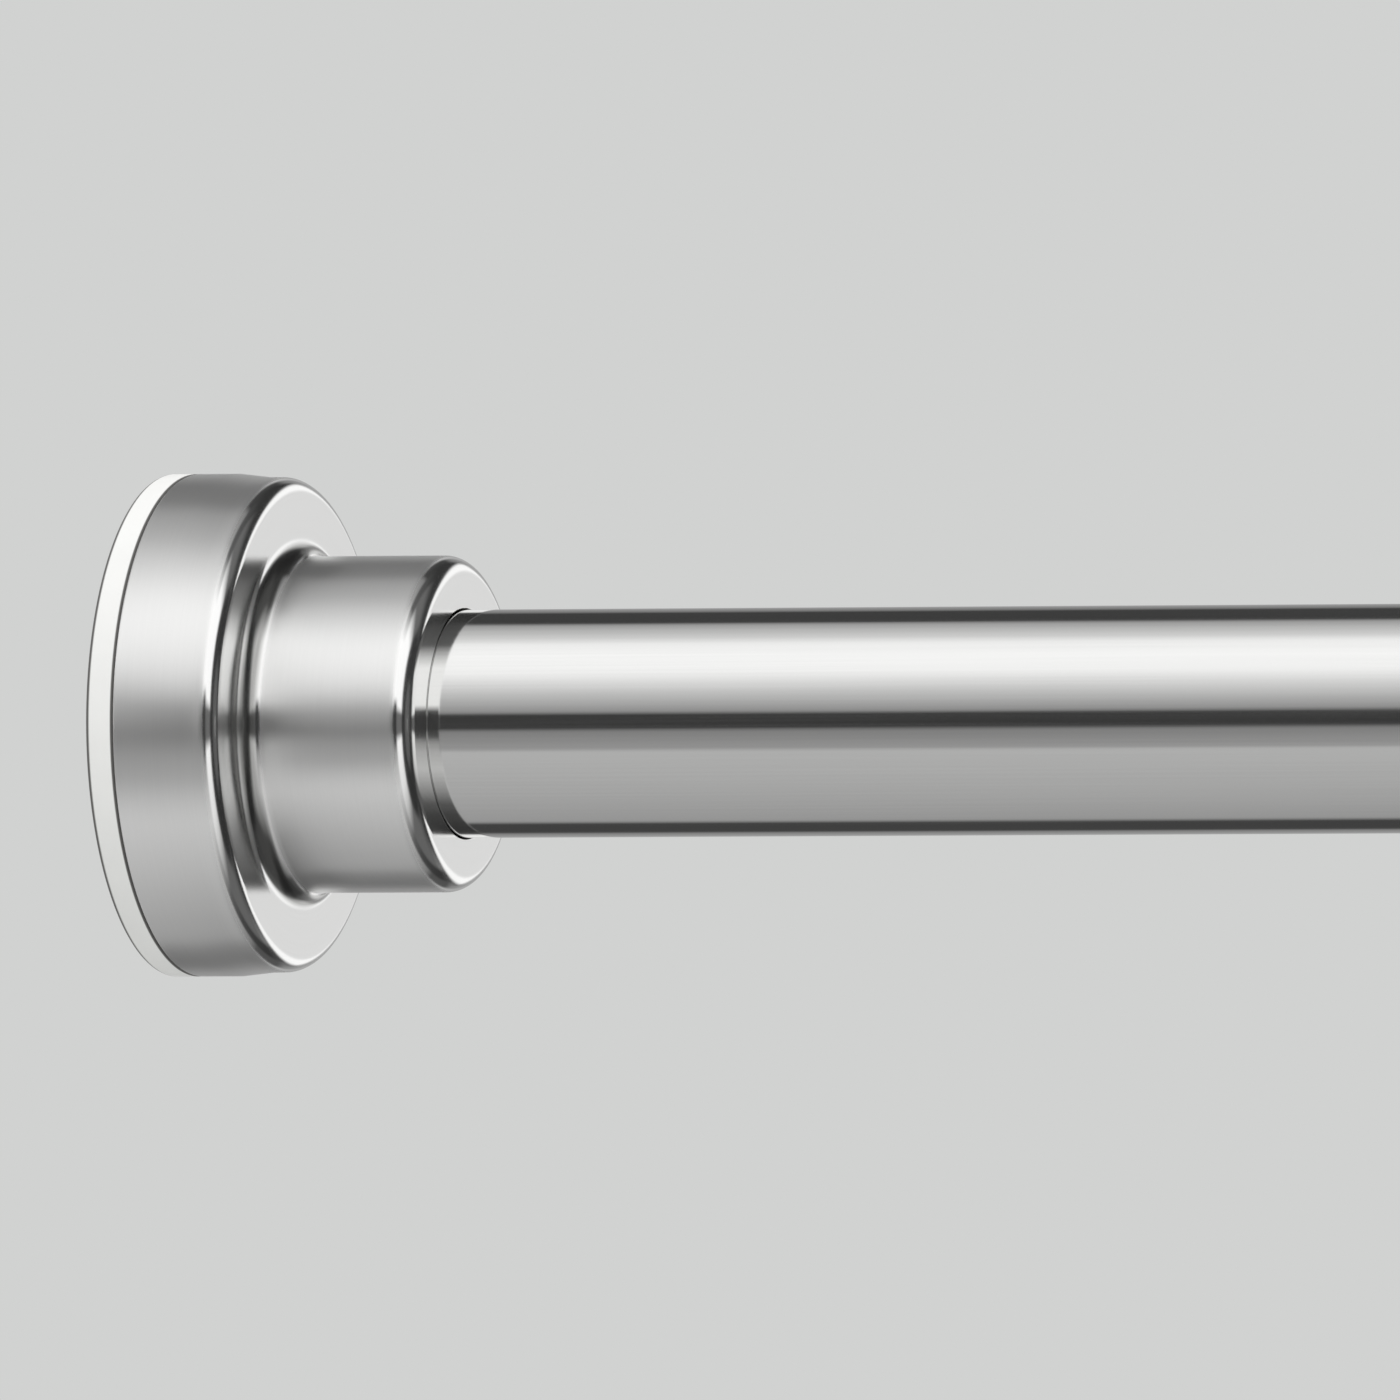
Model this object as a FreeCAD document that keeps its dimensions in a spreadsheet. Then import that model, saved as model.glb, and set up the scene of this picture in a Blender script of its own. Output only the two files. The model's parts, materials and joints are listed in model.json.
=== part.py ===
import FreeCAD, Part
import math
import os
from types import SimpleNamespace

import Sketcher

# Spring tension rod: a telescopic steel tube that a spring inside it holds between two walls.
# Millimetres. The origin is the centre of the left wall face, +X runs along the rod, +Z is up.
# The rod is drawn at its shortest setting with the spring at rest.

# Driving sizes: alias, millimetres, what it measures.
SIZES = [
    ("tube_od", 25.4, "outside diameter of the outer tube"),
    ("tube_wall", 0.8, "sheet thickness of the outer tube"),
    ("tube_length", 586.0, "cut length of the outer tube"),
    ("pole_gap", 0.9, "gap round the sliding pole inside the outer tube"),
    ("pole_wall", 0.8, "sheet thickness of the sliding pole"),
    ("exposed_pole", 58.0, "pole in sight between the mouth bush and the right cover"),
    ("tube_chamfer", 0.2, "broken edge at the ends of both tubes"),
    ("hub_step", 6.05, "from the tube out to the side of the cover's hub"),
    ("flange_step", 9.25, "from the hub's side out to the rim of the cover"),
    ("flange_height", 12.1, "height of the cover's wide drum"),
    ("hub_height", 19.5, "height of the hub above the drum"),
    ("cover_wall", 0.8, "sheet thickness of the cover"),
    ("drum_taper", 0.4, "how much the drum's radius shrinks towards its shoulder"),
    ("shoulder_radius", 2.1, "outer rounding of the drum"),
    ("valley_radius", 2.6, "hollow rounding from the drum into the hub"),
    ("nose_radius", 2.4, "outer rounding of the hub"),
    ("lip_radius", 0.3, "rounded edge of the cover's rim and hole"),
    ("cover_gap", 0.15, "gap between the cover's hole and the rod"),
    ("pad_base", 2.4, "rubber between the foot and the wall"),
    ("pad_rim", 3.2, "rubber rim in sight behind the cover"),
    ("pad_spigot", 3.7, "height of the rubber ring inside the cover"),
    ("pad_lip", 1.4, "thickness of the lip that holds the foot"),
    ("pad_lip_reach", 1.1, "how far the lip reaches over the foot"),
    ("pad_wall", 2.6, "radial thickness of the rubber ring"),
    ("pad_round", 0.5, "rounded edge of the rubber at the wall"),
    ("groove_width", 1.2, "width of the grip grooves in the wall face"),
    ("groove_depth", 0.8, "depth of the grip grooves"),
    ("groove_first", 8.0, "radius of the first grip groove"),
    ("groove_pitch", 4.0, "radial pitch of the grip grooves"),
    ("fit_gap", 0.1, "gap between pieces that are fitted together"),
    ("foot_disc", 3.0, "thickness of the foot's disc"),
    ("foot_floor", 6.0, "thickness of the foot under the socket"),
    ("foot_top_gap", 1.0, "gap between the foot and the front of the cover"),
    ("foot_side_gap", 0.3, "gap between the foot and the side of the hub"),
    ("foot_round", 0.6, "rounded mouth of the foot's socket"),
    ("socket_gap", 0.05, "gap round a tube in its socket"),
    ("gusset_rise", 7.0, "height of the gussets above the foot's disc"),
    ("gusset_reach", 5.5, "radial length of the gussets"),
    ("gusset_width", 1.6, "thickness of the gussets"),
    ("plug_head", 1.6, "head of the tube plug, under the tube's end"),
    ("plug_depth", 22.0, "depth of the tube plug in the tube"),
    ("plug_taper", 1.2, "lead-in at the front of a plug"),
    ("rib_height", 1.1, "height of the crush ribs"),
    ("rib_width", 1.8, "width of the crush ribs"),
    ("screw_d", 4.0, "diameter of the screws"),
    ("screw_head_d", 8.0, "head diameter of the screws"),
    ("sink_depth", 2.3, "depth of the countersunk head"),
    ("foot_screw_length", 20.0, "length of the screw in the foot"),
    ("recess_width", 1.1, "width of the cross recess"),
    ("recess_span", 4.4, "span of the cross recess"),
    ("recess_depth", 1.5, "depth of the cross recess"),
    ("park_gap", 6.0, "gap between the lock and the left plug at the shortest setting"),
    ("stack_gap", 0.2, "end gap between neighbours in the lock"),
    ("end_screw_head", 3.0, "head height of the screw on the lock's end"),
    ("end_screw_length", 14.0, "length of that screw under its head"),
    ("end_washer", 1.5, "thickness of the washer on the lock's end"),
    ("washer_gap", 1.4, "gap between the washers and the tube's bore"),
    ("ring_length", 14.0, "length of the lock ring"),
    ("ring_gap", 0.45, "gap between the lock ring at rest and the tube's bore"),
    ("ring_slit", 1.8, "width of the slit that lets the ring open"),
    ("ring_groove", 0.5, "depth of the grooves round the lock ring"),
    ("cam_offset", 0.8, "how far the cam stands off the axis"),
    ("cam_wall", 1.5, "thinnest wall of the cam round the spindle"),
    ("cam_gap", 0.12, "running gap between the cam and the lock ring"),
    ("cam_flange", 1.5, "thickness of the cam's flange"),
    ("glide_length", 16.0, "length of the glide"),
    ("glide_gap", 0.15, "running gap between the glide and the tube's bore"),
    ("glide_band", 3.0, "length of the full-size band at each end of the glide"),
    ("spindle_flats", 8.0, "size of the hexagon spindle across its flats"),
    ("spindle_gap", 0.2, "gap round the spindle in a bore that it turns in"),
    ("spring_washer_thick", 1.2, "thickness of the washer under the spring"),
    ("spring_length", 60.0, "length of the spring at rest"),
    ("spring_wire", 2.2, "wire diameter of the spring"),
    ("spring_gap", 1.5, "gap between the spring and the tube's bore"),
    ("pole_plug_head", 6.0, "head of the pole plug, which the spring pushes"),
    ("pole_plug_depth", 24.0, "depth of the pole plug in the pole"),
    ("guide_gap", 0.2, "running gap between the pole plug's head and the bore"),
    ("stud_d", 6.0, "diameter of the spindle's stud"),
    ("stud_length", 9.8, "length of the stud past the hexagon"),
    ("stud_chamfer", 0.6, "chamfer on the end of the stud and the screws"),
    ("stop_gap", 0.05, "gap between the pole plug and the washer that stops it"),
    ("stop_washer_d", 15.0, "diameter of the stop washer"),
    ("stop_washer_thick", 1.2, "thickness of the stop washer"),
    ("nut_flats", 10.0, "size of the nut across its flats"),
    ("nut_height", 5.0, "height of the nut"),
    ("bush_depth", 22.0, "depth of the mouth bush in the tube"),
    ("bush_flange", 1.2, "thickness of the bush's flange"),
    ("bush_lip", 0.4, "how far the bush's flange stands out past the tube"),
    ("bush_gap", 0.15, "running gap between the bush and the pole"),
]

GUSSETS = 8
CRUSH_RIBS = 6
GRIP_GROOVES = 4
RING_GROOVES = 4
SPRING_TURNS = 8
HEX_CORNER = 1 / math.sqrt(3)
TINY = 1e-6

document = FreeCAD.newDocument("tension_rod")


def number_of(item):
    """The value of a size, or of a plain number."""
    return item.value if isinstance(item, Size) else float(item)


def text_of(item):
    """The expression of a size, or of a plain number."""
    return item.text if isinstance(item, Size) else repr(float(item))


class Size:
    """A length with its value now and the expression that keeps it up to date."""

    def __init__(self, value, text):
        self.value = value
        self.text = text

    def __add__(self, other):
        return Size(self.value + number_of(other), f"({self.text} + {text_of(other)})")

    def __sub__(self, other):
        return Size(self.value - number_of(other), f"({self.text} - {text_of(other)})")

    def __mul__(self, factor):
        return Size(self.value * number_of(factor), f"({self.text} * {text_of(factor)})")

    def __truediv__(self, factor):
        return Size(self.value / number_of(factor), f"({self.text} / {text_of(factor)})")

    def __neg__(self):
        return Size(-self.value, f"(-1 * {self.text})")


def smaller(first, second):
    """The smaller of two sizes, so that a rounding never outgrows its wall."""
    return Size(min(number_of(first), number_of(second)), f"min({text_of(first)}; {text_of(second)})")


def make_sheet():
    """The spreadsheet of driving sizes, returned as one size per alias."""
    sheet = document.addObject("Spreadsheet::Sheet", "size")
    for row, (alias, millimetres, meaning) in enumerate(SIZES, start=1):
        sheet.set(f"A{row}", str(millimetres))
        sheet.setAlias(f"A{row}", alias)
        sheet.set(f"B{row}", meaning)
    document.recompute()
    return SimpleNamespace(**{alias: Size(float(sheet.get(alias)), f"size.{alias}") for alias, _, _ in SIZES})


size = make_sheet()

# Radii from the axis of the rod
tube_r = size.tube_od / 2
tube_bore_r = tube_r - size.tube_wall
pole_r = tube_bore_r - size.pole_gap
pole_bore_r = pole_r - size.pole_wall
hub_r = tube_r + size.hub_step
rim_r = hub_r + size.flange_step
screw_r = size.screw_d / 2
stud_r = size.stud_d / 2
spindle_corner_r = size.spindle_flats * HEX_CORNER
spindle_bore_r = spindle_corner_r + size.spindle_gap
cam_r = spindle_corner_r + size.cam_offset + size.cam_wall
washer_r = tube_bore_r - size.washer_gap

# Stations along the rod, from the left wall
tube_start = size.pad_base + size.foot_floor + size.plug_head
tube_end = tube_start + size.tube_length
cover_front = size.pad_rim + size.flange_height + size.hub_height
rod_length = tube_end + size.bush_flange + size.exposed_pole + cover_front
lock_start = tube_start + size.plug_depth + size.park_gap
end_washer_start = lock_start + size.end_screw_head
cam_start = end_washer_start + size.end_washer
ring_start = cam_start + size.stack_gap
cam_flange_start = ring_start + size.ring_length + size.stack_gap
glide_start = cam_flange_start + size.cam_flange + size.stack_gap
spring_washer_start = glide_start + size.glide_length + size.stack_gap
spring_start = spring_washer_start + size.spring_washer_thick
pole_plug_start = spring_start + size.spring_length
pole_start = pole_plug_start + size.pole_plug_head
pole_plug_end = pole_start + size.pole_plug_depth
stop_start = pole_plug_end + size.stop_gap
nut_start = stop_start + size.stop_washer_thick
pole_end = rod_length - tube_start


def new_body(label):
    """An empty body with the name of its piece."""
    body = document.addObject("PartDesign::Body", label)
    body.Label = label
    return body


def datum(body, role):
    """An origin plane or axis of the body, found by its role."""
    return next(item for item in body.Origin.OriginFeatures if item.Role == role)


def new_sketch(body, name, role, station=None):
    """A sketch on an origin plane of the body, moved along that plane's normal to a station."""
    sketch = body.newObject("Sketcher::SketchObject", name)
    sketch.AttachmentSupport = [(datum(body, role), "")]
    sketch.MapMode = "FlatFace"
    if station is not None:
        sketch.setExpression("AttachmentOffset.Base.z", text_of(station))
    return sketch


def tie(sketch, kind, references, item):
    """A dimension of the sketch that follows a size."""
    index = sketch.addConstraint(Sketcher.Constraint(kind, *references, number_of(item)))
    if isinstance(item, Size):
        name = f"d{index}"
        sketch.renameConstraint(index, name)
        sketch.setExpression(f"Constraints.{name}", item.text)


def is_zero(item):
    return not isinstance(item, Size) and item == 0


def pin(sketch, geometry, point, x, y):
    """Ties a point of the sketch to its distances from the two axes."""
    if is_zero(x) and is_zero(y):
        sketch.addConstraint(Sketcher.Constraint("Coincident", geometry, point, -1, 1))
        return
    for kind, item, axis in (("DistanceX", x, -2), ("DistanceY", y, -1)):
        if is_zero(item):
            sketch.addConstraint(Sketcher.Constraint("PointOnObject", geometry, point, axis))
        else:
            tie(sketch, kind, (-1, 1, geometry, point), item)


def heading(start, end):
    """The direction of a side that runs along an axis, as -1, 0 or 1 each way."""
    steps = [number_of(end[k]) - number_of(start[k]) for k in (0, 1)]
    return [0 if abs(step) < TINY else math.copysign(1, step) for step in steps]


def moved(item, distance, sign):
    """An ordinate moved by a distance, one way or the other or not at all."""
    if sign == 0:
        return item
    if is_zero(item):
        return distance * sign
    return item + distance if sign > 0 else item - distance


def rounded(corners):
    """The points of an outline, with the start, the end and the centre of the arc at each rounded corner."""
    points = []
    for index, corner in enumerate(corners):
        x, y = corner[:2]
        if len(corner) == 2:
            points.append((x, y, None, 0))
            continue
        radius = corner[2]
        inward = heading(corners[index - 1], corner)
        outward = heading(corner, corners[(index + 1) % len(corners)])
        start = (moved(x, radius, -inward[0]), moved(y, radius, -inward[1]))
        end = (moved(x, radius, outward[0]), moved(y, radius, outward[1]))
        centre = (moved(start[0], radius, outward[0]), moved(start[1], radius, outward[1]))
        turn = inward[0] * outward[1] - inward[1] * outward[0]
        points.append((*start, centre, turn))
        points.append((*end, None, 0))
    return points


def flat_point(x, y):
    return FreeCAD.Vector(number_of(x), number_of(y), 0)


def arc_about(centre, start, end):
    """The arc that runs anticlockwise from start to end."""
    middle = flat_point(*centre)
    angles = [math.atan2(point.y - middle.y, point.x - middle.x) for point in (start, end)]
    circle = Part.Circle(middle, FreeCAD.Vector(0, 0, 1), (start - middle).Length)
    return Part.ArcOfCircle(circle, angles[0], angles[1] + (2 * math.pi if angles[1] < angles[0] else 0))


def draw_outline(sketch, corners):
    """A closed outline through corners (x, y), or (x, y, radius) where the corner is rounded."""
    points = rounded(corners)
    sides = []
    for index, (x, y, centre, turn) in enumerate(points):
        start = flat_point(x, y)
        end = flat_point(*points[(index + 1) % len(points)][:2])
        if centre is None:
            geometry, ends = sketch.addGeometry(Part.LineSegment(start, end), False), (1, 2)
        elif turn > 0:
            geometry, ends = sketch.addGeometry(arc_about(centre, start, end), False), (1, 2)
        else:
            geometry, ends = sketch.addGeometry(arc_about(centre, end, start), False), (2, 1)
        sides.append((geometry, ends))
    for index, (x, y, centre, _) in enumerate(points):
        geometry, (first, last) = sides[index]
        after, (after_first, _) = sides[(index + 1) % len(sides)]
        sketch.addConstraint(Sketcher.Constraint("Coincident", geometry, last, after, after_first))
        pin(sketch, geometry, first, x, y)
        if centre is not None:
            tie(sketch, "DistanceX", (-1, 1, geometry, 3), centre[0])


def draw_circle(sketch, radius, x=0, y=0):
    """A circle of a given radius about a point."""
    middle = flat_point(x, y)
    geometry = sketch.addGeometry(Part.Circle(middle, FreeCAD.Vector(0, 0, 1), number_of(radius)), False)
    pin(sketch, geometry, 3, x, y)
    tie(sketch, "Radius", (geometry,), radius)


def draw_hexagon(sketch, flats):
    """A hexagon about the axis, two of its sides level."""
    half = flats / 2
    corner = flats * HEX_CORNER
    draw_outline(sketch, [
        (corner, 0),
        (corner / 2, half),
        (-corner / 2, half),
        (-corner, 0),
        (-corner / 2, -half),
        (corner / 2, -half),
    ])


def turned(body, name, corners, kind="PartDesign::Revolution"):
    """An outline of (station, radius) turned about the rod's axis."""
    sketch = new_sketch(body, f"{name}_profile", "XZ_Plane")
    draw_outline(sketch, corners)
    feature = body.newObject(kind, name)
    feature.Profile = sketch
    feature.ReferenceAxis = (sketch, ["H_Axis"])
    feature.Angle = 360
    return feature


def turned_cut(body, name, corners):
    """An outline of (station, radius) cut away all round the rod's axis."""
    return turned(body, name, corners, "PartDesign::Groove")


def raised(body, name, sketch, length, both_ways=False):
    """A pad of the sketch along +X, or both ways from its plane."""
    feature = body.newObject("PartDesign::Pad", name)
    feature.Profile = sketch
    feature.Midplane = both_ways
    feature.setExpression("Length", text_of(length))
    return feature


def sunk(body, name, sketch, length=None):
    """A pocket of the sketch along +X, or right through both ways."""
    feature = body.newObject("PartDesign::Pocket", name)
    feature.Profile = sketch
    if length is None:
        feature.Type = "ThroughAll"
        feature.Midplane = True
    else:
        feature.Reversed = True
        feature.setExpression("Length", text_of(length))
    return feature


def repeated(body, name, feature, count):
    """Copies of a feature spaced evenly round the rod's axis."""
    pattern = body.newObject("PartDesign::PolarPattern", name)
    pattern.Originals = [feature]
    pattern.Axis = (datum(body, "X_Axis"), [""])
    pattern.Angle = 360
    pattern.Occurrences = count
    body.Tip = pattern
    return pattern


def crush_ribs(body, outer_r, start, end, count=CRUSH_RIBS):
    """Ribs along a spigot that grip the bore of its tube."""
    sketch = new_sketch(body, "rib_profile", "XZ_Plane")
    root_r = outer_r - size.rib_height - size.rib_height
    draw_outline(sketch, [
        (start, root_r),
        (end, root_r),
        (end, outer_r - size.rib_height),
        (end - size.plug_taper, outer_r),
        (start, outer_r),
    ])
    return repeated(body, "ribs", raised(body, "rib", sketch, size.rib_width, both_ways=True), count)


def hexagon_bore(body, flats):
    """A hexagon bore right through the piece."""
    sketch = new_sketch(body, "hexagon", "YZ_Plane")
    draw_hexagon(sketch, flats)
    return sunk(body, "hexagon_bore", sketch)


def cross_recess(body):
    """The cross recess in a screw's head, which faces the wall."""
    arm = size.recess_width / 2
    reach = size.recess_span / 2
    sketch = new_sketch(body, "cross", "YZ_Plane")
    draw_outline(sketch, [
        (reach, -arm), (reach, arm), (arm, arm), (arm, reach), (-arm, reach), (-arm, arm),
        (-reach, arm), (-reach, -arm), (-arm, -arm), (-arm, -reach), (arm, -reach), (arm, -arm),
    ])
    return sunk(body, "recess", sketch, size.recess_depth)


def place(body, station, end=None):
    """Puts a piece at its station, counted from the right wall and turned round for the right end."""
    if end is not None and end.is_right:
        body.Placement = FreeCAD.Placement(FreeCAD.Vector(), FreeCAD.Rotation(FreeCAD.Vector(0, 0, 1), 180))
        station = rod_length - station
    body.setExpression("Placement.Base.x", text_of(station))
    return body


def wall_pad(end):
    """Rubber pad between the foot and the wall, its lip over the foot and its rim under the cover."""
    body = new_body(f"{end.name}_wall_pad")
    spigot_r = rim_r - size.cover_wall - size.fit_gap
    pocket_r = spigot_r - size.pad_wall
    top = size.pad_rim + size.pad_spigot
    lip_start = top - size.pad_lip
    turned(body, "moulding", [
        (0, 0),
        (0, rim_r, size.pad_round),
        (size.pad_rim, rim_r, smaller(size.pad_round, size.cover_wall) / 2),
        (size.pad_rim, spigot_r),
        (top, spigot_r, size.pad_round),
        (top, pocket_r - size.pad_lip_reach),
        (lip_start, pocket_r - size.pad_lip_reach),
        (lip_start, pocket_r),
        (size.pad_base, pocket_r),
        (size.pad_base, 0),
    ])
    depth = smaller(size.groove_depth, size.pad_base / 2)
    grooves = new_sketch(body, "grip_profile", "XZ_Plane")
    for number in range(GRIP_GROOVES):
        inner = size.groove_first + size.groove_pitch * number
        outer = inner + smaller(size.groove_width, size.groove_pitch / 2)
        draw_outline(grooves, [(0, inner), (depth, inner), (depth, outer), (0, outer)])
    feature = body.newObject("PartDesign::Groove", "grip_grooves")
    feature.Profile = grooves
    feature.ReferenceAxis = (grooves, ["H_Axis"])
    feature.Angle = 360
    return place(body, 0, end)


def foot(end):
    """Moulded foot: a disc in the pad, a socket for the rod, gussets and a countersunk screw hole."""
    body = new_body(f"{end.name}_foot")
    disc_r = rim_r - size.cover_wall - size.fit_gap * 2 - size.pad_wall
    barrel_r = hub_r - size.cover_wall - size.foot_side_gap
    socket_r = end.rod_r + size.socket_gap
    hole_r = screw_r + size.fit_gap
    sink_r = size.screw_head_d / 2 + size.fit_gap
    top = cover_front - size.cover_wall - size.foot_top_gap - size.pad_base
    mouth_round = smaller(size.foot_round, (barrel_r - socket_r) / 3)
    turned(body, "moulding", [
        (0, sink_r),
        (0, disc_r),
        (size.foot_disc, disc_r, size.foot_round),
        (size.foot_disc, barrel_r),
        (top, barrel_r, mouth_round),
        (top, socket_r, mouth_round),
        (size.foot_floor, socket_r),
        (size.foot_floor, hole_r),
        (size.sink_depth, hole_r),
    ])
    rib = new_sketch(body, "gusset_profile", "XZ_Plane")
    crest = size.foot_disc + size.gusset_rise
    root_r = barrel_r - (barrel_r - socket_r) / 2
    draw_outline(rib, [
        (size.foot_disc / 2, root_r),
        (crest, root_r),
        (crest, barrel_r + size.gusset_width / 2),
        (size.foot_disc + size.gusset_width / 2, barrel_r + size.gusset_reach),
        (size.foot_disc / 2, barrel_r + size.gusset_reach),
    ])
    gusset = raised(body, "gusset", rib, size.gusset_width, both_ways=True)
    repeated(body, "gussets", gusset, GUSSETS)
    return place(body, size.pad_base, end)


def foot_screw(end):
    """Countersunk screw that draws the foot on to the plug in the rod."""
    body = new_body(f"{end.name}_foot_screw")
    head_r = size.screw_head_d / 2
    tip = size.foot_screw_length
    turned(body, "shank", [
        (0, 0),
        (0, head_r),
        (size.sink_depth, screw_r),
        (tip - size.stud_chamfer, screw_r),
        (tip, screw_r - size.stud_chamfer),
        (tip, 0),
    ])
    cross_recess(body)
    return place(body, size.pad_base, end)


def tube_plug(end):
    """Plug in the end of the rod, which the foot's screw bites into."""
    body = new_body(f"{end.name}_tube_plug")
    spigot_r = end.bore_r - size.socket_gap
    core_r = spigot_r - size.rib_height
    hole_r = screw_r + size.socket_gap
    tip = size.plug_head + size.plug_depth
    turned(body, "spigot", [
        (0, hole_r),
        (0, end.rod_r - size.fit_gap),
        (size.plug_head, end.rod_r - size.fit_gap),
        (size.plug_head, core_r),
        (tip, core_r),
        (tip, hole_r),
    ])
    crush_ribs(body, spigot_r, size.plug_head / 2, tip)
    return place(body, size.pad_base + size.foot_floor, end)


def flange_cover(end):
    """Drawn cover: wide drum, hollow valley and hub in sheet of one thickness all the way."""
    body = new_body(f"{end.name}_flange_cover")
    wall = size.cover_wall
    shoulder = smaller(size.shoulder_radius, size.flange_step * 0.35)
    valley = smaller(size.valley_radius, size.flange_step * 0.4)
    nose = smaller(size.nose_radius, size.hub_step * 0.6)
    lip = smaller(size.lip_radius, wall * 0.4)
    face = size.flange_height
    front = size.flange_height + size.hub_height
    hole_r = end.rod_r + size.cover_gap
    drum_r = rim_r - size.drum_taper
    taper_start = size.flange_height * 0.4
    taper_end = size.flange_height * 0.7
    turned(body, "drawn_sheet", [
        (0, rim_r, lip),
        (taper_start, rim_r),
        (taper_end, drum_r),
        (face, drum_r, shoulder),
        (face, hub_r, valley),
        (front, hub_r, nose),
        (front, hole_r, lip),
        (front - wall, hole_r),
        (front - wall, hub_r - wall, nose - wall),
        (face - wall, hub_r - wall, valley + wall),
        (face - wall, drum_r - wall, shoulder - wall),
        (taper_end, drum_r - wall),
        (taper_start, rim_r - wall),
        (0, rim_r - wall),
    ])
    return place(body, size.pad_rim, end)


def tube(label, outer_r, bore_r, start, end):
    """A plain tube with broken edges."""
    body = new_body(label)
    length = end - start
    chamfer = smaller(size.tube_chamfer, (outer_r - bore_r) / 3)
    turned(body, "wall", [
        (0, bore_r),
        (0, outer_r - chamfer),
        (chamfer, outer_r),
        (length - chamfer, outer_r),
        (length, outer_r - chamfer),
        (length, bore_r),
    ])
    return place(body, start)


def mouth_bush():
    """Bush in the mouth of the outer tube, which the pole runs through."""
    body = new_body("mouth_bush")
    inner_r = pole_r + size.bush_gap
    outer_r = tube_bore_r - size.socket_gap
    flange_r = tube_r + size.bush_lip
    edge = smaller(size.bush_flange, flange_r - inner_r) / 3
    turned(body, "moulding", [
        (0, inner_r),
        (0, outer_r),
        (size.bush_depth, outer_r),
        (size.bush_depth, flange_r),
        (size.bush_depth + size.bush_flange, flange_r, edge),
        (size.bush_depth + size.bush_flange, inner_r),
    ])
    return place(body, tube_end - size.bush_depth)


def washer(label, outer_r, bore_r, thickness, station):
    """A flat washer."""
    body = new_body(label)
    blank = new_sketch(body, "blank", "YZ_Plane")
    draw_circle(blank, outer_r)
    draw_circle(blank, bore_r)
    raised(body, "disc", blank, thickness)
    return place(body, station)


def lock_end_screw():
    """Pan-head screw that holds the lock's pieces on the spindle."""
    body = new_body("lock_end_screw")
    head_r = size.screw_head_d / 2
    tip = size.end_screw_head + size.end_screw_length
    turned(body, "shank", [
        (0, 0),
        (0, head_r, size.end_screw_head / 2),
        (size.end_screw_head, head_r),
        (size.end_screw_head, screw_r),
        (tip - size.stud_chamfer, screw_r),
        (tip, screw_r - size.stud_chamfer),
        (tip, 0),
    ])
    cross_recess(body)
    return place(body, lock_start)


def eccentric_cam():
    """Cam off the axis on the hexagon spindle, with a round flange behind the lock ring."""
    body = new_body("eccentric_cam")
    lobe = new_sketch(body, "lobe_circle", "YZ_Plane")
    draw_circle(lobe, cam_r, 0, size.cam_offset)
    raised(body, "lobe", lobe, cam_flange_start - cam_start)
    flange = new_sketch(body, "flange_circle", "YZ_Plane", cam_flange_start - cam_start)
    draw_circle(flange, washer_r)
    raised(body, "flange", flange, size.cam_flange)
    hexagon_bore(body, size.spindle_flats + size.fit_gap)
    return place(body, cam_start)


def lock_ring():
    """Slit ring round the cam, which the turning cam pushes against the tube's bore."""
    body = new_body("lock_ring")
    outer_r = tube_bore_r - size.ring_gap
    blank = new_sketch(body, "blank", "YZ_Plane")
    draw_circle(blank, outer_r)
    draw_circle(blank, cam_r + size.cam_gap, 0, size.cam_offset)
    raised(body, "ring", blank, size.ring_length)
    grooves = new_sketch(body, "grip_profile", "XZ_Plane")
    pitch = size.ring_length / RING_GROOVES
    for number in range(RING_GROOVES):
        start = pitch * (number + 0.5) - size.ring_groove
        end = start + size.ring_groove * 2
        draw_outline(grooves, [
            (start, outer_r - size.ring_groove),
            (end, outer_r - size.ring_groove),
            (end, tube_bore_r),
            (start, tube_bore_r),
        ])
    feature = body.newObject("PartDesign::Groove", "grip_grooves")
    feature.Profile = grooves
    feature.ReferenceAxis = (grooves, ["H_Axis"])
    feature.Angle = 360
    slit = new_sketch(body, "slit_outline", "YZ_Plane")
    half = size.ring_slit / 2
    draw_outline(slit, [
        (-half, -tube_bore_r),
        (half, -tube_bore_r),
        (half, -spindle_corner_r),
        (-half, -spindle_corner_r),
    ])
    sunk(body, "slit", slit)
    return place(body, ring_start)


def lock_glide():
    """Glide that carries the lock along the tube, round at its ends and ribbed between them."""
    body = new_body("lock_glide")
    outer_r = tube_bore_r - size.glide_gap
    waist_r = outer_r - size.rib_height * 2
    edge = smaller(size.plug_taper, size.glide_band) / 2
    near = smaller(size.glide_band, size.glide_length / 3)
    far = size.glide_length - near
    turned(body, "bobbin", [
        (0, spindle_bore_r),
        (0, outer_r, edge),
        (near, outer_r),
        (near, waist_r),
        (far, waist_r),
        (far, outer_r),
        (size.glide_length, outer_r, edge),
        (size.glide_length, spindle_bore_r),
    ])
    rib = new_sketch(body, "rib_profile", "XZ_Plane")
    root_r = waist_r - size.rib_height
    rib_r = outer_r - size.rib_height / 2
    draw_outline(rib, [
        (near / 2, root_r),
        (far + near / 2, root_r),
        (far + near / 2, rib_r),
        (near / 2, rib_r),
    ])
    repeated(body, "ribs", raised(body, "rib", rib, size.rib_width, both_ways=True), CRUSH_RIBS)
    return place(body, glide_start)


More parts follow.
